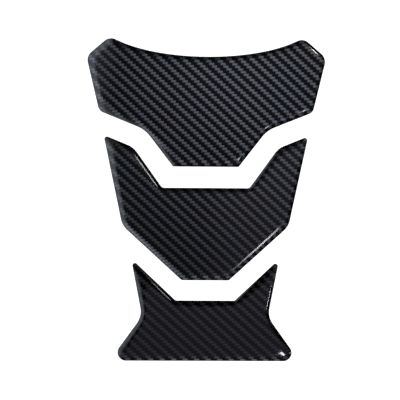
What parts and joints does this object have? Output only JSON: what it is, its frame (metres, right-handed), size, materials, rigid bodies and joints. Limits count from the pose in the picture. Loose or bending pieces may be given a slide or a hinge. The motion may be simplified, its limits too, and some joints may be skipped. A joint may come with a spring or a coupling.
{
  "type": "motorcycle tank pad",
  "caption": "Domed carbon-look protector for a motorcycle fuel tank: upper, middle and lower sections lie in line and stick down flat.",
  "frame": {"origin": "middle of the footprint, on the surface that the adhesive lies on", "axes": "+X to the rider's right seen from the glossy face, +Y towards the filler cap, +Z out of the glossy face"},
  "size_m": [0.1624, 0.2198, 0.0019],
  "materials": {
    "clear_resin": "clear poured polyurethane resin, very glossy, domed by its own surface tension",
    "carbon_film": "printed vinyl, black and grey two-by-two twill carbon pattern",
    "adhesive": "pressure-sensitive acrylic adhesive, pale and slightly tacky, satin"
  },
  "bodies": {
    "root": {"upper_clear_dome": "clear_resin", "upper_carbon_film": "carbon_film", "upper_adhesive": "adhesive", "middle_clear_dome": "clear_resin", "middle_carbon_film": "carbon_film", "middle_adhesive": "adhesive", "lower_clear_dome": "clear_resin", "lower_carbon_film": "carbon_film", "lower_adhesive": "adhesive"}
  },
  "joints": []
}
